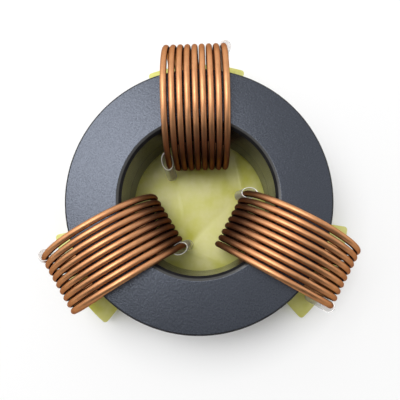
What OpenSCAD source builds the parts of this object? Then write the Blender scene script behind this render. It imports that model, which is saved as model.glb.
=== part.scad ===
// Three-phase toroidal choke: a cased ring core, three threaded-on copper windings and a base board.
// Origin: centre of the board's underside. +Z up. Millimetres.

/* [Core] */
// Outer diameter of the tape-wound core
core_od = 80; // [70:1:90]
// Inner diameter of the tape-wound core
core_id = 50; // [46:1:60]
// Height of the core
core_h = 20; // [14:1:26]
// Thickness of the soft ring pads over and under the core
pad_t = 0.5; // [0.3:0.1:1]

/* [Case] */
// Clearance between the core and the case walls
core_fit = 0.2; // [0.1:0.05:0.5]
// Thickness of the case walls
wall_t = 1; // [0.9:0.1:2]
// Thickness of the tray's floor
floor_t = 1; // [0.8:0.1:2]
// Thickness of the lid's top plate
lid_t = 1.5; // [1.4:0.1:2.5]
// Depth of the lid's skirts, from the top face down to the joint with the tray
skirt_h = 13.8; // [8:0.2:17]
// Thickness of the lid's skirts where they overlap the tray's tongues
skirt_t = 0.45; // [0.35:0.05:0.6]
// Clearance in the lap joint between skirts and tongues
lap_gap = 0.1; // [0.05:0.05:0.15]
// Width of the bevel round the hole on the top face
rim_bevel_w = 1.5; // [0.5:0.1:1.8]
// Depth of the bevel round the hole on the top face
rim_bevel_h = 1.2; // [0.4:0.1:1.2]
// Bevel on the other edges of the case
edge_bevel = 0.5; // [0.2:0.1:0.8]

/* [Windings] */
// Diameter of the enamelled wire
wire_d = 2.05; // [1.5:0.05:2.3]
// Turns in each winding
turn_count = 9; // [5:1:9]
// Distance from one turn to the next
turn_pitch = 2.36; // [2.34:0.02:2.6]
// Distance from the case's inner wall to the middle of the wire, in the hole
inner_bow = 11.4; // [9:0.2:12]
// Distance from the case's outer wall to the middle of the wire
outer_bow = 12.1; // [9:0.2:14]
// Height of the middle of the wire over the case's top face
top_bow = 6; // [3:0.5:9]
// Bend radius of the wire under the case
corner_r = 9; // [6:0.5:9]
// Clearance over and under the wires that the case sits on
seat_gap = 0.05; // [0.02:0.01:0.2]
// How far the start leads' feet stand in from their turns
foot_lean = 1.1; // [0.4:0.1:1.4]
// Bend radius of the finish leads over the board
lead_bend_r = 4; // [3:0.5:6]
// Height over the board at which the finish leads stand upright
lead_stub = 0.5; // [0.2:0.1:1]
// Length of the tinned lead ends below the board
pin_l = 4; // [2:0.5:8]
// Thickness of the tin on the lead ends
tin_t = 0.04; // [0.02:0.01:0.08]

/* [Sleeves] */
// Outer diameter of the sleeves
sleeve_od = 3.9; // [3.6:0.1:4.2]
// Wall of the sleeves
sleeve_wall = 0.2; // [0.15:0.05:0.3]
// Clearance between a sleeve and the next turn
sleeve_gap = 0.12; // [0.1:0.02:0.3]
// How far the sleeves stand to the side of their leads, as a share of their play
sleeve_aside = 0.75; // [0.3:0.05:0.8]
// Place of the start sleeves' mouths on the turn, in degrees over the spring line
start_mouth = 15; // [8:1:16]
// Slope of the start sleeves' cut mouths, in degrees
mouth_slope = 55; // [0:5:55]
// Place of the finish sleeves' mouths on the turn, in degrees over the spring line
finish_mouth = 32; // [10:1:34]

/* [Board] */
// Thickness of the board
board_t = 2; // [1:0.2:3.2]
// Radius of the board's middle disc
disc_r = 36; // [30:1:40]
// Distance from the finish leads to the arms' outer edges
arm_margin = 3.06; // [1.8:0.01:6]
// Angle from an arm's middle to its side, in degrees
arm_half_angle = 20; // [18:1:26]
// Radius of the arms' outer corners
arm_corner_r = 1.2; // [0.5:0.1:3]
// Radius of the inside corners between arms and disc
arm_fillet_r = 2; // [1:0.5:4]
// Clearance of the tinned leads in their holes
hole_fit = 0.4; // [0.2:0.1:0.8]

/* [Hidden] */
$fn = 48;

// The windings sit a third of a turn apart, the first on +Y
phase_step = 120;
first_phase = 90;

// Heights, from the board up: bottom passes of the wire, tray floor, case top
pass_z = board_t + seat_gap + wire_d / 2;
case_z = pass_z + wire_d / 2 + seat_gap;
case_h = floor_t + core_h + 2 * pad_t + lid_t;
case_top = case_z + case_h;
seam_z = case_top - skirt_h;

// Radii of the case and of the room inside it
case_ro = core_od / 2 + core_fit + wall_t;
case_ri = core_id / 2 - core_fit - wall_t;
room_ro = core_od / 2 + core_fit;
room_ri = core_id / 2 - core_fit;

// A turn: half circle over the case down to the spring line, then a flat pass under the case
turn_in = case_ri - inner_bow;
turn_out = case_ro + outer_bow;
spring_z = case_top + top_bow - (turn_out - turn_in) / 2;
shortest_leg = 0.5;
bend_r = min(corner_r, spring_z - pass_z - shortest_leg);

// A sleeve is loose on its lead and stands to the side, away from the next turn; where that isn't
// enough room, the end turn is pushed out as well
sleeve_id = sleeve_od - 2 * sleeve_wall;
sleeve_play = (sleeve_id - wire_d) / 2;
sleeve_side = sleeve_aside * sleeve_play;
sleeve_push = max(0, (wire_d + sleeve_od) / 2 + sleeve_gap - turn_pitch - sleeve_side);
function turn_side(k) = ((turn_count - 1) / 2 - k) * turn_pitch;
function inner_end(k) = [turn_in, turn_side(k) + (k == 0 ? sleeve_push : 0)];
function outer_end(k) = [turn_out, turn_side(k) - (k == turn_count - 1 ? sleeve_push : 0)];

// The start lead drops from the first turn with a slight lean; the finish lead runs on round the last
// turn's circle and then bends upright
first_in = inner_end(0);
first_out = outer_end(0);
first_mid = (first_in + first_out) / 2;
first_way = (first_out - first_in) / norm(first_out - first_in);
first_r = norm(first_out - first_in) / 2;
start_reach = -first_r - foot_lean;
start_pin = first_mid + start_reach * first_way;
last_in = inner_end(turn_count - 1);
last_out = outer_end(turn_count - 1);
last_mid = (last_in + last_out) / 2;
last_way = (last_out - last_in) / norm(last_out - last_in);
last_r = norm(last_out - last_in) / 2;
finish_turn = asin((spring_z - board_t - lead_stub) / (last_r + lead_bend_r));
finish_reach = last_r * cos(finish_turn) - lead_bend_r * (1 - cos(finish_turn));
finish_pin = last_mid + finish_reach * last_way;

// Tinned lead ends, their holes and the arms that carry the finish leads
pin_d = wire_d + 2 * tin_t;
hole_d = pin_d + hole_fit;
arm_r = norm(finish_pin) + arm_margin;

// Sleeves are drawn longer by trim_l at both ends and trimmed by cubes of side cutter
trim_l = 3 * sleeve_od;
cutter = 4 * trim_l;

// Fineness of the swept wire
wire_sides = 8;
arch_steps = 15;
bend_steps = 4;
lead_steps = 3;

// Fineness of the rings and of the board's outline; its long arcs end a little before the corners
ring_sides = 128;
corner_steps = 6;
arc_steps = 12;
arc_inset = 2;

// How far cutting bodies reach past what they cut
overshoot = 1;

copper = "#b87333";
black = "#2b2e35";
board_colour = "#c6c95a";
sleeve_colour = "#eef0ee";

// Points of an arc in the plane
function arc(c, r, a0, a1, steps) =
    [for (i = [0 : steps]) let (a = a0 + (a1 - a0) * i / steps) c + r * [cos(a), sin(a)]];

// Places children on one of the three phases, local +X outwards
module on_phase(n) {
    rotate(first_phase + (n - 1) * phase_step) children();
}

// Upright ring about the Z axis
module ring(r_in, r_out, z0, z1) {
    translate([0, 0, z0]) difference() {
        cylinder(r = r_out, h = z1 - z0, $fn = ring_sides);
        translate([0, 0, -overshoot]) cylinder(r = r_in, h = z1 - z0 + 2 * overshoot, $fn = ring_sides);
    }
}

// A station of the wire: its middle, the way that points out of the loop, and the way across it.
// It lies in the upright plane through a and b, at distance x from half way between them, with
// the loop's outward way at angle t from the way a to b.
function station(a, b, x, z, t) =
    let (way = (b - a) / norm(b - a), mid = (a + b) / 2 + x * way)
    [[mid.x, mid.y, z], [way.x * cos(t), way.y * cos(t), sin(t)], [-way.y, way.x, 0]];

// Half circle of turn k, from its inner leg over the case to its outer leg
function over_pass(k) =
    let (a = inner_end(k), b = outer_end(k), r = norm(b - a) / 2)
    [for (i = [0 : arch_steps]) let (t = 180 - 180 * i / arch_steps)
        station(a, b, r * cos(t), spring_z + r * sin(t), t)];

// Flat pass under the case, from the outer leg of turn k to the inner leg of the next
function under_pass(k) =
    let (a = inner_end(k + 1), b = outer_end(k), flat = norm(b - a) / 2 - bend_r, z = pass_z + bend_r)
    [for (side = [1, -1], i = [0 : bend_steps])
        let (t = (side > 0 ? 0 : -90) - 90 * i / bend_steps)
        station(a, b, side * flat + bend_r * cos(t), z + bend_r * sin(t), t)];

// Finish lead: on round the last circle, then bent back upright
function finish_lead() =
    let (a = last_in, b = last_out, r = last_r, q = lead_bend_r, s = finish_turn / lead_steps)
    [for (i = [1 : lead_steps]) station(a, b, r * cos(s * i), spring_z - r * sin(s * i), -s * i),
     for (i = [lead_steps - 1 : -1 : 0])
        station(a, b, (r + q) * cos(finish_turn) - q * cos(s * i),
                spring_z - (r + q) * sin(finish_turn) + q * sin(s * i), -s * i),
     station(a, b, finish_reach, -pin_l / 2, 0)];

// The whole wire, from the start lead's end to the finish lead's end
function wire_route() = concat(
    [for (z = [-pin_l / 2, board_t]) station(first_in, first_out, start_reach, z, 180)],
    [for (k = [0 : turn_count - 1]) each concat(over_pass(k), k < turn_count - 1 ? under_pass(k) : [])],
    finish_lead());

// Round bar swept through a list of stations
module sweep(route, d, sides) {
    last = len(route) - 1;
    skin = [for (s = route, j = [0 : sides - 1]) let (t = 360 * j / sides)
        s[0] + d / 2 * (cos(t) * s[1] + sin(t) * s[2])];
    walls = [for (i = [0 : last - 1], j = [0 : sides - 1]) let (k = (j + 1) % sides)
        each [[i * sides + j, i * sides + k, (i + 1) * sides + k],
              [i * sides + j, (i + 1) * sides + k, (i + 1) * sides + j]]];
    ends = [[for (j = [sides - 1 : -1 : 0]) j], [for (j = [0 : sides - 1]) last * sides + j]];
    polyhedron(skin, concat(walls, ends));
}

// One winding: the swept wire and its two tinned ends
module winding(n) {
    color(copper) on_phase(n) {
        sweep(wire_route(), wire_d, wire_sides);
        for (p = [start_pin, finish_pin])
            translate([p.x, p.y, -pin_l]) cylinder(d = pin_d, h = pin_l);
    }
}

module sleeve_section() {
    difference() {
        circle(d = sleeve_od);
        circle(d = sleeve_id);
    }
}

// Centre of the circle through three points
function circle_centre(a, b, c) =
    let (d = 2 * (a.x * (b.y - c.y) + b.x * (c.y - a.y) + c.x * (a.y - b.y)))
    [(a * a) * (b.y - c.y) + (b * b) * (c.y - a.y) + (c * c) * (a.y - b.y),
     (a * a) * (c.x - b.x) + (b * b) * (a.x - c.x) + (c * c) * (b.x - a.x)] / d;

// Places children in the upright plane of an end turn, moved to the side by a sleeve's stand-off
module beside_turn(n, mid, way, side) {
    on_phase(n) translate(mid) rotate(atan2(way.y, way.x)) translate([0, side, 0]) children();
}

// Loose tube on the start lead, leaning from the board to the turn, its mouth cut on the slant
module start_sleeve(n) {
    mouth_x = -first_r * cos(start_mouth) + sleeve_play / 2;
    mouth_z = spring_z + first_r * sin(start_mouth);
    lean = atan2(mouth_x - start_reach, mouth_z - board_t);
    color(sleeve_colour) beside_turn(n, first_mid, first_way, sleeve_side) difference() {
        translate([start_reach, 0, board_t]) rotate([0, lean, 0]) translate([0, 0, -trim_l])
            linear_extrude(mouth_z - board_t + 2 * trim_l) sleeve_section();
        translate([start_reach - cutter / 2, -cutter / 2, board_t - cutter]) cube(cutter);
        translate([mouth_x, 0, mouth_z]) rotate([0, -mouth_slope, 0])
            translate([-cutter / 2, -cutter / 2, 0]) cube(cutter);
    }
}

// Tube on the finish lead, bowed from its mouth on the last turn down to the board
module finish_sleeve(n) {
    mouth = [last_r * cos(finish_mouth), spring_z + last_r * sin(finish_mouth)];
    centre = circle_centre(mouth, [last_r - sleeve_play / 2, spring_z], [finish_reach, board_t]);
    bow_r = norm(mouth - centre);
    mouth_turn = atan2(mouth.y - centre.y, mouth.x - centre.x);
    low_turn = asin((centre.y - board_t + sleeve_od) / bow_r);
    color(sleeve_colour) beside_turn(n, last_mid, last_way, -sleeve_side) difference() {
        translate([centre.x, 0, centre.y]) rotate([90, 0, 0]) rotate(-low_turn)
            rotate_extrude(angle = low_turn + mouth_turn) translate([bow_r, 0]) sleeve_section();
        translate([finish_reach - cutter / 2, -cutter / 2, board_t - cutter]) cube(cutter);
    }
}

// Tray: floor, full-thickness walls up to the seam, thinner tongues above it
module case_tray() {
    tongue_z = case_top - lid_t - lap_gap;
    wall_z = seam_z - lap_gap;
    tongue_ro = case_ro - skirt_t - lap_gap;
    tongue_ri = case_ri + skirt_t + lap_gap;
    color(black) rotate_extrude($fn = ring_sides) polygon([
        [case_ri + edge_bevel, case_z], [case_ro - edge_bevel, case_z], [case_ro, case_z + edge_bevel],
        [case_ro, wall_z], [tongue_ro, wall_z], [tongue_ro, tongue_z], [room_ro, tongue_z],
        [room_ro, case_z + floor_t], [room_ri, case_z + floor_t], [room_ri, tongue_z],
        [tongue_ri, tongue_z], [tongue_ri, wall_z], [case_ri, wall_z], [case_ri, case_z + edge_bevel]]);
}

// Lid: top plate with bevelled edges and two skirts that lap over the tray's tongues
module case_lid() {
    under_z = case_top - lid_t;
    color(black) rotate_extrude($fn = ring_sides) polygon([
        [case_ri + rim_bevel_w, case_top], [case_ro - edge_bevel, case_top], [case_ro, case_top - edge_bevel],
        [case_ro, seam_z], [case_ro - skirt_t, seam_z], [case_ro - skirt_t, under_z],
        [case_ri + skirt_t, under_z], [case_ri + skirt_t, seam_z], [case_ri, seam_z],
        [case_ri, case_top - rim_bevel_h]]);
}

module core() {
    z0 = case_z + floor_t + pad_t;
    color("#8d8f94") ring(core_id / 2, core_od / 2, z0, z0 + core_h);
}

module pad(z0) {
    color("#d9d6cc") ring(core_id / 2, core_od / 2, z0, z0 + pad_t);
}

module lower_pad() {
    pad(case_z + floor_t);
}

module upper_pad() {
    pad(case_z + floor_t + pad_t + core_h);
}

// Outline of one arm about the direction at angle m, with filleted roots and rounded corners
function arm_outline(m) =
    let (corner_c = arm_r - arm_corner_r, corner_turn = asin(arm_corner_r / corner_c),
         root_c = disc_r + arm_fillet_r, root_turn = asin(arm_fillet_r / root_c), h = arm_half_angle,
         root_at = h + root_turn, corner_at = h - corner_turn)
    concat(
        arc(root_c * [cos(m - root_at), sin(m - root_at)], arm_fillet_r,
            m - root_at + 180, m - h + 90, corner_steps),
        arc(corner_c * [cos(m - corner_at), sin(m - corner_at)], arm_corner_r,
            m - h - 90, m - corner_at, corner_steps),
        arc([0, 0], arm_r, m - corner_at + arc_inset, m + corner_at - arc_inset, arc_steps),
        arc(corner_c * [cos(m + corner_at), sin(m + corner_at)], arm_corner_r,
            m + corner_at, m + h + 90, corner_steps),
        arc(root_c * [cos(m + root_at), sin(m + root_at)], arm_fillet_r,
            m + h - 90, m + root_at - 180, corner_steps));

// Outline of the disc between one arm and the next
function disc_outline(m) =
    let (root_at = arm_half_angle + asin(arm_fillet_r / (disc_r + arm_fillet_r)))
    arc([0, 0], disc_r, m + root_at + arc_inset, m + phase_step - root_at - arc_inset, arc_steps);

module base_board() {
    color(board_colour) difference() {
        linear_extrude(board_t) polygon([for (n = [0 : 2]) let (m = first_phase + n * phase_step)
            each concat(arm_outline(m), disc_outline(m))]);
        for (n = [1 : 3]) on_phase(n) for (p = [start_pin, finish_pin])
            translate([p.x, p.y, -overshoot]) cylinder(d = hole_d, h = board_t + 2 * overshoot);
    }
}

base_board();
case_tray();
case_lid();
core();
lower_pad();
upper_pad();
for (n = [1 : 3]) winding(n);
for (n = [1 : 3]) start_sleeve(n);
for (n = [1 : 3]) finish_sleeve(n);
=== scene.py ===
"""Looks of a three-phase toroidal choke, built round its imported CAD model.

The file follows the choke as it is put together: board, case with its core, windings, sleeves.
Lengths are in metres; the origin is the centre of the board's underside, +Z up.
"""
import math

import bmesh
import bpy
from mathutils import Matrix, Quaternion, Vector


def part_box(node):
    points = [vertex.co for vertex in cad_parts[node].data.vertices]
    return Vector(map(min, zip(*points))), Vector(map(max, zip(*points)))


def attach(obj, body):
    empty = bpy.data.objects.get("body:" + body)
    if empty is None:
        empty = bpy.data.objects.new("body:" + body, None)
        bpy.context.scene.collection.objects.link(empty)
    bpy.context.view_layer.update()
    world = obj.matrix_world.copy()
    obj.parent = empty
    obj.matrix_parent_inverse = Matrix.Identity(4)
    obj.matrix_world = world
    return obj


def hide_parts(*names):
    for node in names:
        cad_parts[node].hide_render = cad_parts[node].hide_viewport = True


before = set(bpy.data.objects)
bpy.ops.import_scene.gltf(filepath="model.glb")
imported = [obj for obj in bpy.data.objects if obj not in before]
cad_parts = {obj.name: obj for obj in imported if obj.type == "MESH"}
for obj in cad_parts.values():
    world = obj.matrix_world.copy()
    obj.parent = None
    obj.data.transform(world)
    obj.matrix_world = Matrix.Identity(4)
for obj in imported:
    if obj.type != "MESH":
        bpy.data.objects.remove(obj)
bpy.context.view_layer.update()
mm = 0.001


# Base board: a blank of glass-cloth epoxy laminate, routed to three arms and drilled for the six
# leads. Its cut edges are broken only lightly; the resin skin is semi-gloss and cloudy.
board_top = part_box("base_board")[1].z
broken_edge = 0.1 * mm
weld = 0.001 * mm
flat_within, edge_from = math.radians(1), math.radians(60)
board_bm = bmesh.new()
board_bm.from_mesh(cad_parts["base_board"].data)
bmesh.ops.remove_doubles(board_bm, verts=board_bm.verts, dist=weld)
bmesh.ops.dissolve_limit(board_bm, angle_limit=flat_within, verts=board_bm.verts, edges=board_bm.edges)
rims = [e for e in board_bm.edges if e.calc_face_angle(0) > edge_from]
bmesh.ops.bevel(board_bm, geom=rims, offset=broken_edge, offset_type="OFFSET", segments=2, profile=0.5,
                affect="EDGES", clamp_overlap=True, material=-1)


def shader(name):
    """A new material with its node tree, its Principled shader and its Object coordinates."""
    material = bpy.data.materials.new(name)
    material.use_nodes = True
    tree = material.node_tree
    place = tree.nodes.new("ShaderNodeTexCoord")
    return material, tree, tree.nodes["Principled BSDF"], place.outputs["Object"]


def noise(tree, coords, scale, detail=2.0, roughness=0.5):
    """Soft noise of about scale patches to the metre."""
    node = tree.nodes.new("ShaderNodeTexNoise")
    node.inputs["Scale"].default_value = scale
    node.inputs["Detail"].default_value = detail
    node.inputs["Roughness"].default_value = roughness
    tree.links.new(coords, node.inputs["Vector"])
    return node.outputs["Fac"]


def ramp(tree, value, low, high):
    """A colour between two stops, each a place from 0 to 1 along the value with its colour."""
    node = tree.nodes.new("ShaderNodeValToRGB")
    for point, (at, colour) in zip(node.color_ramp.elements, (low, high)):
        point.position = at
        point.color = (*colour, 1)
    tree.links.new(value, node.inputs["Fac"])
    return node.outputs["Color"]


def between(tree, value, start, end, low, high):
    """The value's stretch from start to end laid from low to high, and held there past its ends."""
    node = tree.nodes.new("ShaderNodeMapRange")
    for socket, number in (("From Min", start), ("From Max", end), ("To Min", low), ("To Max", high)):
        node.inputs[socket].default_value = number
    tree.links.new(value, node.inputs["Value"])
    return node.outputs["Result"]


def spread(tree, value, low, high):
    """A noise, which mostly keeps from 0.3 to 0.7, laid from low to high."""
    return between(tree, value, 0.3, 0.7, low, high)


def combine(tree, operation, a, b, clamp=False):
    """Two values combined by an operation of arithmetic, and held from 0 to 1 where clamp says so."""
    node = tree.nodes.new("ShaderNodeMath")
    node.operation = operation
    node.use_clamp = clamp
    tree.links.new(a, node.inputs[0])
    tree.links.new(b, node.inputs[1])
    return node.outputs["Value"]


def bump(tree, height, surface, depth):
    """Relief of that depth on the surface shader."""
    node = tree.nodes.new("ShaderNodeBump")
    node.inputs["Distance"].default_value = depth
    tree.links.new(height, node.inputs["Height"])
    tree.links.new(node.outputs["Normal"], surface.inputs["Normal"])


def laminate_finish():
    """Cloudy yellow-green resin, with the cloth's threads in faint relief."""
    material, tree, surface, place = shader("epoxy_laminate")
    cloud = noise(tree, place, 160, 4)
    tree.links.new(ramp(tree, cloud, (0.32, (0.60, 0.59, 0.08)), (0.68, (0.73, 0.705, 0.27))),
                   surface.inputs["Base Color"])
    tree.links.new(spread(tree, cloud, 0.28, 0.5), surface.inputs["Roughness"])
    threads = []
    for way in ("X", "Y"):
        thread = tree.nodes.new("ShaderNodeTexWave")
        thread.bands_direction = way
        thread.inputs["Scale"].default_value = 700
        thread.inputs["Distortion"].default_value = 0.6
        tree.links.new(place, thread.inputs["Vector"])
        threads.append(thread.outputs["Fac"])
    bump(tree, combine(tree, "ADD", *threads), surface, 0.01 * mm)
    surface.inputs["IOR"].default_value = 1.55
    return material


def set_piece(name, bm, node, slot, *materials, smooth=30):
    """Makes the mesh a piece that stands for its CAD node, smooth up to an angle in degrees."""
    mesh = bpy.data.meshes.new(name)
    bm.to_mesh(mesh)
    bm.free()
    for material in materials:
        mesh.materials.append(material)
    for face in mesh.polygons:
        face.use_smooth = True
    mesh.set_sharp_from_angle(angle=math.radians(smooth))
    piece = bpy.data.objects.new(name, mesh)
    bpy.context.scene.collection.objects.link(piece)
    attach(piece, "root")
    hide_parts(node)
    return piece


set_piece("laminate_board", board_bm, "base_board", "board", laminate_finish())


# Core and pads: a ring of wound metal tape between two soft foam rings, closed in by the case.
# The tape's edges show as fine rings on its two faces.
def tape_finish():
    """Grey metal with the rings of the tape's edges."""
    material, tree, surface, place = shader("wound_tape")
    rings = tree.nodes.new("ShaderNodeTexWave")
    rings.wave_type = "RINGS"
    rings.rings_direction = "Z"
    rings.inputs["Scale"].default_value = 600
    rings.inputs["Distortion"].default_value = 0.3
    tree.links.new(place, rings.inputs["Vector"])
    tree.links.new(ramp(tree, rings.outputs["Fac"], (0.0, (0.20, 0.20, 0.21)), (1.0, (0.46, 0.46, 0.48))),
                   surface.inputs["Base Color"])
    bump(tree, rings.outputs["Fac"], surface, 0.03 * mm)
    surface.inputs["Metallic"].default_value = 1
    surface.inputs["Roughness"].default_value = 0.4
    return material


def foam_finish():
    """Dull beige foam with fine cells."""
    material, tree, surface, place = shader("soft_foam")
    cells = noise(tree, place, 3000, 3)
    tree.links.new(ramp(tree, cells, (0.3, (0.48, 0.45, 0.38)), (0.7, (0.66, 0.63, 0.56))),
                   surface.inputs["Base Color"])
    bump(tree, cells, surface, 0.1 * mm)
    surface.inputs["Roughness"].default_value = 0.95
    return material


foam = foam_finish()
for node, inner_finish in (("core", tape_finish()), ("lower_pad", foam), ("upper_pad", foam)):
    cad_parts[node].data.materials.clear()
    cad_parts[node].data.materials.append(inner_finish)


# Case: a tray and a lid, moulded in black plastic, that lap over each other half way up the walls and
# close round the core. The flat faces have a fine satin grain. The walls are drawn smooth, and painted
# lighter than the flats as painted light; the edges are dull, and painted darker as painted shade. The
# edge of the lid's hole is broken in two steps.
case_in, case_out = 23.8 * mm, 41.2 * mm
tray_floor, tray_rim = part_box("case_tray")[0].z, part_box("case_tray")[1].z
seam, case_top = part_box("case_lid")[0].z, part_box("case_lid")[1].z
lap_gap, skirt = 0.1 * mm, 0.45 * mm
wall, floor_t, lid_t = 1 * mm, 1 * mm, 1.5 * mm
edge, rim_w, rim_h = 0.5 * mm, 1.5 * mm, 1.2 * mm
tray_rounding, lid_rounding = 0.08 * mm, 0.12 * mm
ring_steps = 192


def moulded_ring(profile, rounding):
    """A ring spun from the closed outline of its section, with that rounding on its corners."""
    bm = bmesh.new()
    corners = [bm.verts.new((r, 0, z)) for r, z in profile]
    for a, b in zip(corners, corners[1:] + corners[:1]):
        bm.edges.new((a, b))
    bmesh.ops.bevel(bm, geom=corners, offset=rounding, offset_type="OFFSET", segments=3, profile=0.5,
                    affect="VERTICES", clamp_overlap=True, material=-1)
    bmesh.ops.spin(bm, geom=bm.verts[:] + bm.edges[:], cent=(0, 0, 0), axis=(0, 0, 1), angle=math.tau,
                   steps=ring_steps, use_merge=True)
    bmesh.ops.remove_doubles(bm, verts=bm.verts, dist=weld)
    bmesh.ops.recalc_face_normals(bm, faces=bm.faces)
    return bm


def satin_finish():
    """Blue-black plastic with a fine moulded grain, for the flat faces."""
    material, tree, surface, place = shader("satin_black_plastic")
    grain = noise(tree, place, 1900, 3, 0.6)
    patches = noise(tree, place, 90)
    tree.links.new(ramp(tree, patches, (0.2, (0.012, 0.014, 0.018)), (0.8, (0.016, 0.018, 0.024))),
                   surface.inputs["Base Color"])
    tree.links.new(spread(tree, grain, 0.22, 0.32), surface.inputs["Roughness"])
    bump(tree, grain, surface, 0.05 * mm)
    surface.inputs["Specular IOR Level"].default_value = 0.75
    surface.inputs["Specular Tint"].default_value = (0.76, 0.83, 1.0, 1)
    return material


def drawn_lit_finish():
    """The same plastic, drawn smooth by the mould, for the walls; its colour is painted lighter than the
    flats as painted light.
    """
    material, tree, surface, place = shader("smooth_lit_black_plastic")
    marks = noise(tree, place, 400, 3)
    # Painted light: a lighter colour than the flat faces, for the light the walls catch from the board
    # and the lamps.
    tree.links.new(ramp(tree, marks, (0.3, (0.043, 0.043, 0.042)), (0.7, (0.049, 0.049, 0.048))),
                   surface.inputs["Base Color"])
    tree.links.new(spread(tree, marks, 0.18, 0.24), surface.inputs["Roughness"])
    surface.inputs["Specular IOR Level"].default_value = 0.35
    return material


def dull_shaded_finish():
    """The same plastic, dull and painted darker than the flats as painted shade, for the broken edges."""
    material, tree, surface, place = shader("dull_shaded_black_edge")
    marks = noise(tree, place, 400, 3)
    # Painted shade: a darker colour than the flat faces, for the dark band the edges show.
    tree.links.new(ramp(tree, marks, (0.3, (0.008, 0.008, 0.009)), (0.7, (0.012, 0.012, 0.014))),
                   surface.inputs["Base Color"])
    surface.inputs["Roughness"].default_value = 0.5
    surface.inputs["Specular IOR Level"].default_value = 0.15
    return material


case_finishes = [satin_finish(), drawn_lit_finish(), dull_shaded_finish()]
satin, drawn_lit, dull_shaded = range(3)
flat_from = 0.97
outer_edge_from = 0.1
hole_edge_from, hole_edge_to = 0.3, 0.8


def case_finish_on(face):
    """The finish that a face takes, by how level it lies (0 upright, 1 flat) and on which side."""
    level = abs(face.normal.z)
    outer = face.calc_center_median().xy.length > (case_in + case_out) / 2
    if level > flat_from:
        return satin
    on_edge = level > outer_edge_from if outer else hole_edge_from < level < hole_edge_to
    return dull_shaded if on_edge else drawn_lit


tongue_in, tongue_out = case_in + skirt + lap_gap, case_out - skirt - lap_gap
tray_bm = moulded_ring([
    (case_in + edge, tray_floor), (case_out - edge, tray_floor), (case_out, tray_floor + edge),
    (case_out, seam - lap_gap), (tongue_out, seam - lap_gap), (tongue_out, tray_rim),
    (case_out - wall, tray_rim), (case_out - wall, tray_floor + floor_t),
    (case_in + wall, tray_floor + floor_t), (case_in + wall, tray_rim), (tongue_in, tray_rim),
    (tongue_in, seam - lap_gap), (case_in, seam - lap_gap), (case_in, tray_floor + edge)], tray_rounding)
lid_bm = moulded_ring([
    (case_in + rim_w, case_top), (case_out - edge, case_top), (case_out, case_top - edge),
    (case_out, seam), (case_out - skirt, seam), (case_out - skirt, case_top - lid_t),
    (case_in + skirt, case_top - lid_t), (case_in + skirt, seam), (case_in, seam),
    (case_in, case_top - rim_h), (case_in + rim_w / 2, case_top - rim_h / 4)], lid_rounding)
for name, bm, node in (("tray", tray_bm, "case_tray"), ("lid", lid_bm, "case_lid")):
    for face in bm.faces:
        face.material_index = case_finish_on(face)
    piece = set_piece(name, bm, node, "case", *case_finishes, smooth=40)
    flats = piece.modifiers.new("true_flats", "WEIGHTED_NORMAL")
    flats.keep_sharp = True


# Windings: three lengths of round copper wire under brown enamel, each threaded through the ring in
# nine turns. A turn is a half circle over the case and a flat pass under it, on the board. The ends
# are stripped and tinned, and stand through the board.
wire_r, tinned_r = 1.025 * mm, 1.065 * mm
turns, pitch = 9, 2.36 * mm
leg_in, leg_out = 12.4 * mm, 53.3 * mm
spring, pass_z = 13.2 * mm, 3.075 * mm
bend_r, lead_r = 9 * mm, 4 * mm
sleeve_push, foot_lean = 0.19125 * mm, 1.1 * mm
lead_stub = 0.5 * mm
pin_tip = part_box("winding_1")[0].z
pin_chamfer, pin_taper = 0.3 * mm, 0.8
wire_sides, arch_steps, bend_steps, lead_steps = 20, 40, 12, 6
# How far the painted shade between the turns reaches, and the radii from the axis over which the painted
# shade towards the hole fades out.
gap_shade_reach = 1.4 * mm
hole_shade_r, hole_shade_end_r = 14 * mm, 26 * mm
up = Vector((0, 0, 1))


def turn_ends(k):
    """The feet of turn k's inner and outer legs; the sleeved ends stand off from their neighbours."""
    side = ((turns - 1) / 2 - k) * pitch
    return (Vector((leg_in, side + (sleeve_push if k == 0 else 0), 0)),
            Vector((leg_out, side - (sleeve_push if k == turns - 1 else 0), 0)))


def edges_at(verts):
    """The edges that meet these vertices, each once."""
    return list(dict.fromkeys(e for v in verts for e in v.link_edges))


def draw_on(bm, loop, way):
    """The wire's end loop drawn straight on; returns the new loop."""
    made = bmesh.ops.extrude_edge_only(bm, edges=loop)["geom"]
    bmesh.ops.translate(bm, verts=[v for v in made if isinstance(v, bmesh.types.BMVert)], vec=way)
    return [e for e in made if isinstance(e, bmesh.types.BMEdge) and len(e.link_faces) == 1]


def bend_on(bm, loop, centre, axis, angle, steps):
    """The wire's end loop bent on round an axis; returns the new loop."""
    made = bmesh.ops.spin(bm, geom=loop, cent=centre, axis=axis, angle=angle, steps=steps)["geom_last"]
    return [e for e in made if isinstance(e, bmesh.types.BMEdge)]


def widen(bm, loop, foot, factor):
    """The wire's end loop made that much wider about its lead's foot."""
    ring = list(dict.fromkeys(v for e in loop for v in e.verts))
    bmesh.ops.scale(bm, vec=(factor, factor, 1), space=Matrix.Translation(-foot), verts=ring)


first_in, first_out = turn_ends(0)
first_way = (first_out - first_in).normalized()
first_r = (first_out - first_in).length / 2
start_foot = first_in - first_way * foot_lean
last_in, last_out = turn_ends(turns - 1)
last_way = (last_out - last_in).normalized()
last_r = (last_out - last_in).length / 2
lead_reach = last_r + lead_r
lead_turn = math.asin((spring - board_top - lead_stub) / lead_reach)
finish_foot = last_out + last_way * (lead_reach * (math.cos(lead_turn) - 1))


def over_case(bm, loop, k):
    """Turn k's half circle over the case."""
    a, b = turn_ends(k)
    across = (b - a).normalized().cross(up)
    return bend_on(bm, loop, (a + b) / 2 + up * spring, across, -math.pi, arch_steps)


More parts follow.
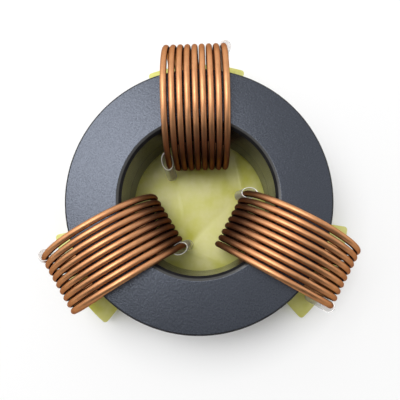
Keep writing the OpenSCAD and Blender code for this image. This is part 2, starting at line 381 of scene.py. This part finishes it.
def under_case(bm, loop, k):
    """The flat pass under the case, from turn k's outer leg to the next turn's inner leg."""
    a, b = turn_ends(k + 1)[0], turn_ends(k)[1]
    way = (b - a).normalized()
    across = way.cross(up)
    knee = up * (pass_z + bend_r)
    leg = up * spring - knee
    loop = draw_on(bm, loop, -leg)
    loop = bend_on(bm, loop, b - way * bend_r + knee, across, -math.pi / 2, bend_steps)
    loop = draw_on(bm, loop, way * (2 * bend_r - (b - a).length))
    loop = bend_on(bm, loop, a + way * bend_r + knee, across, -math.pi / 2, bend_steps)
    return draw_on(bm, loop, leg)


def wind():
    """One winding about local +X, from the start lead's tip to the finish lead's tip."""
    bm = bmesh.new()
    tip = bmesh.ops.create_circle(bm, cap_ends=True, segments=wire_sides, radius=tinned_r * pin_taper,
                                  matrix=Matrix.Translation(start_foot + up * pin_tip))["verts"]
    loop = draw_on(bm, edges_at(tip), up * pin_chamfer)
    widen(bm, loop, start_foot, 1 / pin_taper)
    loop = draw_on(bm, loop, up * (-pin_tip - pin_chamfer))
    tinned = len(bm.faces)
    widen(bm, loop, start_foot, wire_r / tinned_r)
    loop = draw_on(bm, loop, up * board_top)
    loop = draw_on(bm, loop, first_in - start_foot + up * (spring - board_top))
    for k in range(turns - 1):
        loop = over_case(bm, loop, k)
        loop = under_case(bm, loop, k)
    loop = over_case(bm, loop, turns - 1)
    across = last_way.cross(up)
    middle = (last_in + last_out) / 2 + up * spring
    loop = bend_on(bm, loop, middle, across, -lead_turn, lead_steps)
    out = last_way * (lead_reach * math.cos(lead_turn))
    down = up * (lead_reach * math.sin(lead_turn))
    loop = bend_on(bm, loop, middle + out - down, across, lead_turn, lead_steps)
    loop = draw_on(bm, loop, up * (-board_top - lead_stub))
    wired = len(bm.faces)
    widen(bm, loop, finish_foot, tinned_r / wire_r)
    loop = draw_on(bm, loop, up * (pin_tip + pin_chamfer))
    loop = draw_on(bm, loop, up * -pin_chamfer)
    widen(bm, loop, finish_foot, pin_taper)
    bmesh.ops.contextual_create(bm, geom=loop)
    bmesh.ops.recalc_face_normals(bm, faces=bm.faces)
    for i, face in enumerate(bm.faces):
        face.material_index = 0 if tinned <= i < wired else 1
    return bm


def off_axis(tree, coords):
    """Distance from the ring's axis."""
    flat = tree.nodes.new("ShaderNodeVectorMath")
    flat.operation = "MULTIPLY"
    flat.inputs[1].default_value = (1, 1, 0)
    tree.links.new(coords, flat.inputs[0])
    length = tree.nodes.new("ShaderNodeVectorMath")
    length.operation = "LENGTH"
    tree.links.new(flat.outputs["Vector"], length.inputs[0])
    return length.outputs["Value"]


def enamel_finish():
    """Copper under brown enamel, painted darker as painted shade between the turns and towards the hole.
    """
    material, tree, surface, place = shader("enamelled_copper")
    bare = ramp(tree, noise(tree, place, 260, 3), (0.3, (0.60, 0.29, 0.135)), (0.7, (0.73, 0.365, 0.175)))
    # Painted shade: the copper's colour is darkened to a dark brown in the gaps between the turns and on
    # the legs towards the hole.
    gap_occlusion = tree.nodes.new("ShaderNodeAmbientOcclusion")
    gap_occlusion.only_local = True
    gap_occlusion.samples = 32
    gap_occlusion.inputs["Distance"].default_value = gap_shade_reach
    unshaded_by_gap = between(tree, gap_occlusion.outputs["AO"], 0.3, 0.7, -1.4, 1.25)
    unshaded_by_hole = between(tree, off_axis(tree, place), hole_shade_r, hole_shade_end_r, 0.25, 1)
    painted_shade = tree.nodes.new("ShaderNodeMix")
    painted_shade.data_type = "RGBA"
    # The dark brown of the painted shade.
    painted_shade.inputs["A"].default_value = (0.048, 0.018, 0.024, 1)
    tree.links.new(combine(tree, "MULTIPLY", unshaded_by_gap, unshaded_by_hole, clamp=True),
                   painted_shade.inputs["Factor"])
    tree.links.new(bare, painted_shade.inputs["B"])
    tree.links.new(painted_shade.outputs["Result"], surface.inputs["Base Color"])
    tree.links.new(spread(tree, noise(tree, place, 900, 3), 0.42, 0.50), surface.inputs["Roughness"])
    surface.inputs["Metallic"].default_value = 1
    surface.inputs["Specular Tint"].default_value = (0.16, 0.09, 0.07, 1)
    surface.inputs["Coat Weight"].default_value = 0.05
    surface.inputs["Coat Roughness"].default_value = 0.2
    return material


def tin_finish():
    """Dipped tin, grey and slightly grainy."""
    material, tree, surface, place = shader("tinned_wire")
    grain = noise(tree, place, 2600, 3)
    tree.links.new(ramp(tree, grain, (0.3, (0.52, 0.52, 0.53)), (0.7, (0.68, 0.68, 0.68))),
                   surface.inputs["Base Color"])
    bump(tree, grain, surface, 0.03 * mm)
    surface.inputs["Metallic"].default_value = 1
    surface.inputs["Roughness"].default_value = 0.35
    return material


def phase_turn(n):
    """Turns local +X to phase n of three, the first on +Y."""
    return Matrix.Rotation(math.radians(90 + 120 * (n - 1)), 3, "Z")


enamel, tin = enamel_finish(), tin_finish()
for n in (1, 2, 3):
    bm = wind()
    bmesh.ops.rotate(bm, cent=(0, 0, 0), matrix=phase_turn(n), verts=bm.verts)
    set_piece(f"copper_winding_{n}", bm, f"winding_{n}", "copper", enamel, tin, smooth=50)


# Sleeves: short lengths of loose, milky white tube, pushed over each lead down to the board. A start
# sleeve leans with its lead and its mouth is cut on the slant; a finish sleeve bows with the last turn.
# Each mouth has a band of solid white at its edge, painted light for the bright cut end of the tube.
sleeve_r, sleeve_wall = 1.95 * mm, 0.2 * mm
play = sleeve_r - sleeve_wall - wire_r
sleeve_side = 0.75 * play
start_mouth, mouth_slope = math.radians(15), math.radians(55)
finish_mouth = math.radians(32)
lit_edge_band = 0.2 * mm
waste, trim = 2 * sleeve_r, 0.01 * mm
tube_sides, bow_steps = 40, 24
outside, lit_rim, bore = range(3)


def two_walls(bm, place, draw):
    """The tube's outer and inner wall, each drawn on from a loop at a place."""
    for finish, r in ((outside, sleeve_r), (bore, sleeve_r - sleeve_wall)):
        had = len(bm.faces)
        made = bmesh.ops.create_circle(bm, segments=tube_sides, radius=r, matrix=place)["verts"]
        draw(edges_at(made))
        for face in list(bm.faces)[had:]:
            face.material_index = finish


def score(bm, point, outwards, through=False):
    """Splits the tube's walls along a plane, or cuts off what is past it; returns the edges on it."""
    on_plane = bmesh.ops.bisect_plane(bm, geom=bm.verts[:] + bm.edges[:] + bm.faces[:], plane_co=point,
                                      plane_no=outwards, clear_outer=through)["geom_cut"]
    return [e for e in on_plane if isinstance(e, bmesh.types.BMEdge)]


def cut_end(bm, point, outwards):
    """Cuts the tube off at a plane and closes the rim between its walls."""
    cut = score(bm, point, outwards, through=True)
    bmesh.ops.triangle_fill(bm, use_beauty=True, normal=outwards, edges=cut)


def cut_mouth(bm, point, outwards):
    """Cuts the tube off at a plane and makes a band at its edge solid white, as painted light."""
    line = point - outwards * lit_edge_band
    score(bm, line, outwards)
    cut_end(bm, point, outwards)
    # Painted light: the band next to the cut is made solid white, so that the mouth shows a bright edge.
    for face in bm.faces:
        if (face.calc_center_median() - line).dot(outwards) > 0:
            face.material_index = lit_rim


def start_tube():
    """The straight tube on the leaning start lead."""
    bm = bmesh.new()
    aside = up.cross(first_way) * sleeve_side
    foot = start_foot + aside + up * board_top
    mouth = (first_in + aside + first_way * (first_r * (1 - math.cos(start_mouth)) + play / 2)
             + up * (spring + first_r * math.sin(start_mouth)))
    lean = (mouth - foot).normalized()
    turned = up.rotation_difference(lean).to_matrix().to_4x4()
    length = (mouth - foot).length + 4 * waste
    two_walls(bm, Matrix.Translation(foot - lean * waste) @ turned,
              lambda loop: draw_on(bm, loop, lean * length))
    cut_end(bm, foot, -up)
    cut_mouth(bm, mouth, up * math.cos(mouth_slope) - first_way * math.sin(mouth_slope))
    bmesh.ops.recalc_face_normals(bm, faces=bm.faces)
    return bm


def round_through(a, b, c):
    """Centre of the circle through three points of a plane."""
    d = 2 * (a.x * (b.y - c.y) + b.x * (c.y - a.y) + c.x * (a.y - b.y))
    aa, bb, cc = a.length_squared, b.length_squared, c.length_squared
    return Vector((aa * (b.y - c.y) + bb * (c.y - a.y) + cc * (a.y - b.y),
                   aa * (c.x - b.x) + bb * (a.x - c.x) + cc * (b.x - a.x))) / d


def finish_tube():
    """The bowed tube on the finish lead, drawn down from its mouth round the hub of its bow."""
    bm = bmesh.new()
    base = (last_in + last_out) / 2 - up.cross(last_way) * sleeve_side
    mouth = Vector((last_r * math.cos(finish_mouth), spring + last_r * math.sin(finish_mouth)))
    knee = Vector((last_r - play / 2, spring))
    foot = Vector(((finish_foot - (last_in + last_out) / 2).dot(last_way), board_top))
    hub = round_through(mouth, knee, foot)
    bow_r = (mouth - hub).length
    mouth_turn = math.atan2(mouth.y - hub.y, mouth.x - hub.x)
    low_turn = math.asin((hub.y - board_top + waste) / bow_r)
    across = last_way.cross(up)
    centre = base + last_way * hub.x + up * hub.y
    turn = Matrix.Rotation(mouth_turn, 4, across)
    two_walls(bm, Matrix.Translation(centre) @ turn @ Matrix.Translation(last_way * bow_r),
              lambda loop: bend_on(bm, loop, centre, across, -mouth_turn - low_turn, bow_steps))
    cut_end(bm, base + up * board_top, -up)
    tip = turn.to_3x3() @ up
    cut_mouth(bm, centre + turn.to_3x3() @ last_way * bow_r - tip * trim, tip)
    bmesh.ops.recalc_face_normals(bm, faces=bm.faces)
    return bm


def tube_finish(name, alpha):
    """White plastic with a faint haze, as solid as alpha says."""
    material, tree, surface, place = shader(name)
    haze = noise(tree, place, 500, 3)
    tree.links.new(ramp(tree, haze, (0.3, (0.90, 0.91, 0.90)), (0.7, (0.97, 0.97, 0.96))),
                   surface.inputs["Base Color"])
    tree.links.new(spread(tree, haze, 0.25, 0.4), surface.inputs["Roughness"])
    surface.inputs["Alpha"].default_value = alpha
    return material


# The solid white band at each mouth is painted light.
tube_finishes = [tube_finish("milky_tube", 0.36), tube_finish("milky_tube_lit_rim", 1.0),
                 tube_finish("milky_tube_bore", 0.03)]
for n in (1, 2, 3):
    for end, bm in (("start", start_tube()), ("finish", finish_tube())):
        bmesh.ops.rotate(bm, cent=(0, 0, 0), matrix=phase_turn(n), verts=bm.verts)
        set_piece(f"{end}_tube_{n}", bm, f"{end}_sleeve_{n}", "sleeve", *tube_finishes)


# Floor: a wide white table top, just under the pins. Close by it keeps the choke's shadow; further out
# it glows a little for the camera and for reflections, so that it shows white.
table_half, table_gap = 3, 0.2 * mm
shadow_r, white_r, white_share = 50 * mm, 66 * mm, 0.6
floor_bm = bmesh.new()
bmesh.ops.create_grid(floor_bm, x_segments=1, y_segments=1, size=table_half,
                      matrix=Matrix.Translation(up * (pin_tip - table_gap)))
floor_mesh = bpy.data.meshes.new("table")
floor_bm.to_mesh(floor_mesh)
floor_bm.free()
table = bpy.data.objects.new("table", floor_mesh)
bpy.context.scene.collection.objects.link(table)
paper, tree, surface, place = shader("white_table")
surface.inputs["Base Color"].default_value = (0.9, 0.9, 0.9, 1)
surface.inputs["Roughness"].default_value = 0.8
rays = tree.nodes.new("ShaderNodeLightPath")
seen = rays.outputs["Is Camera Ray"]
for ray in ("Is Glossy Ray", "Is Transmission Ray"):
    seen = combine(tree, "MAXIMUM", seen, rays.outputs[ray])
white = between(tree, off_axis(tree, place), shadow_r, white_r, 0, white_share)
glow = tree.nodes.new("ShaderNodeEmission")
blend = tree.nodes.new("ShaderNodeMixShader")
tree.links.new(combine(tree, "MULTIPLY", seen, white), blend.inputs["Fac"])
tree.links.new(surface.outputs["BSDF"], blend.inputs[1])
tree.links.new(glow.outputs["Emission"], blend.inputs[2])
tree.links.new(blend.outputs["Shader"], tree.nodes["Material Output"].inputs["Surface"])
floor_mesh.materials.append(paper)


# Light: a soft box up on the left, under a wide ceiling of light that is set back from the ring, with a
# low wall of light behind and one on either side; the room is dim.
lit_point = Vector((0, 0, 20 * mm))


def soft_box(name, place, width, height, power):
    """A soft box at a place, turned to the middle of the ring."""
    light = bpy.data.lights.new(name, "AREA")
    light.shape = "RECTANGLE"
    light.size = width
    light.size_y = height
    light.energy = power
    lamp = bpy.data.objects.new(name, light)
    lamp.location = place
    lamp.rotation_euler = (lit_point - Vector(place)).to_track_quat("-Z", "Y").to_euler()
    bpy.context.scene.collection.objects.link(lamp)


soft_box("key_box", (-0.16, 0.14, 0.56), 0.30, 0.30, 1.7)
soft_box("ceiling", (0, 0.19, 0.70), 1.3, 0.95, 3.9)
soft_box("back_wall", (0, 0.8, 0.25), 1.5, 0.5, 2.8)
soft_box("left_wall", (-0.68, 0.15, 0.38), 1.0, 0.7, 2.9)
soft_box("right_wall", (0.8, 0.15, 0.25), 1.0, 0.5, 1.9)
world = bpy.data.worlds.new("room")
bpy.context.scene.world = world
world.use_nodes = True
room = world.node_tree.nodes["Background"]
room.inputs["Color"].default_value = (0.94, 0.97, 1, 1)
room.inputs["Strength"].default_value = 0.06
bpy.context.scene.view_settings.view_transform = "Standard"


# Camera: close over the ring and a little in front of its middle, looking almost straight down through
# a slightly wide lens.
eye = (2.467 * mm, -13.944 * mm, 143.99 * mm)
roll = math.radians(-1.6)
tilt = Vector((math.radians(6.37), math.radians(1.13), 0))
lens = bpy.data.cameras.new("lens")
lens.sensor_width = 36
lens.lens = 34.54
lens.clip_start = 10 * mm
camera = bpy.data.objects.new("camera", lens)
camera.matrix_world = (Matrix.Translation(eye) @ Matrix.Rotation(roll, 4, "Z")
                       @ Quaternion(tilt, tilt.length).to_matrix().to_4x4())
bpy.context.scene.collection.objects.link(camera)
bpy.context.scene.camera = camera
